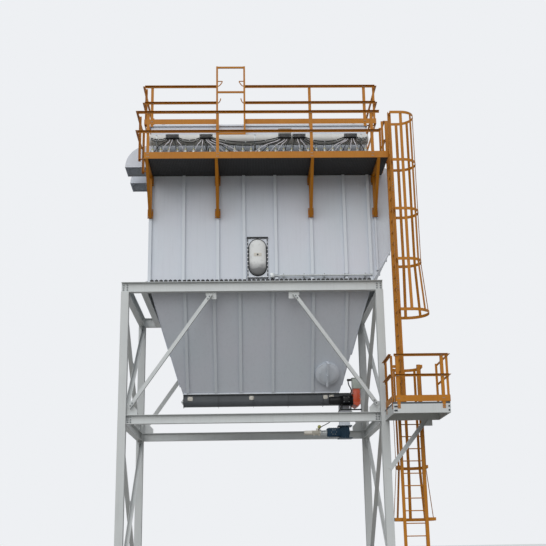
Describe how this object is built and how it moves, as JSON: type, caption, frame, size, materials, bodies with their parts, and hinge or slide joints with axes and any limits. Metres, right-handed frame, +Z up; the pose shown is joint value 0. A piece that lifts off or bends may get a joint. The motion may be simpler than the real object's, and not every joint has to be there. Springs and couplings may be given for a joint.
{
  "type": "pulse-jet bag filter on a support frame",
  "caption": "Rectangular bag filter dust collector with trough hopper, screw conveyor, service platform and caged ladders, standing on a braced steel frame.",
  "frame": {"origin": "centre of the column grid, at the underside of the base plates", "axes": "+Z up, +X to the right as seen from the front (the side with the service platform), +Y from the front to the back"},
  "size_m": [8.236, 5.976, 14.4],
  "materials": {
    "frame_paint": "satin",
    "casing_paint": "satin",
    "safety_paint": "satin",
    "dark_paint": "satin",
    "guard_paint": "satin",
    "drive_paint": "satin",
    "zinc": "matt"
  },
  "bodies": {
    "root": {"base_plates": "frame_paint", "columns": "frame_paint", "top_beams_front_rear": "frame_paint", "top_beams_side": "frame_paint", "lower_beams_front_rear": "frame_paint", "lower_beams_side": "frame_paint", "front_braces": "frame_paint", "rear_braces": "frame_paint", "left_bracing": "frame_paint", "right_bracing": "frame_paint", "hopper_front": "casing_paint", "hopper_rear": "casing_paint", "hopper_left": "casing_paint", "hopper_right": "casing_paint", "hopper_manhole": "casing_paint", "casing_front_wall": "casing_paint", "casing_rear_wall": "casing_paint", "casing_left_wall": "casing_paint", "casing_right_wall": "casing_paint", "casing_roof": "casing_paint", "vent_frame": "casing_paint", "vent_dome": "casing_paint", "inlet_plenum": "casing_paint", "inlet_collar": "casing_paint", "outlet_hoods": "casing_paint", "front_conduit": "zinc", "conveyor_trough": "dark_paint", "conveyor_reducer": "dark_paint", "conveyor_motor": "dark_paint", "belt_guard": "guard_paint", "switch_box": "casing_paint", "discharge_spout": "casing_paint", "rotary_airlock": "zinc", "airlock_gearmotor": "drive_paint", "airlock_motor": "casing_paint", "platform_frame": "safety_paint", "platform_deck": "dark_paint", "platform_brackets": "safety_paint", "platform_rail_front": "safety_paint", "platform_rail_left": "safety_paint", "platform_rail_right": "safety_paint", "pulse_header": "casing_paint", "pulse_valves": "zinc", "solenoid_boxes": "dark_paint", "roof_rail_front": "safety_paint", "roof_rail_rear": "safety_paint", "roof_rail_left": "safety_paint", "roof_rail_right": "safety_paint", "roof_ladder": "safety_paint", "upper_ladder": "safety_paint", "upper_cage": "safety_paint", "landing_frame": "frame_paint", "landing_deck": "dark_paint", "landing_rail_front": "safety_paint", "landing_rail_left": "safety_paint", "landing_rail_right": "safety_paint", "lower_ladder": "safety_paint", "lower_cage": "safety_paint"}
  },
  "joints": []
}
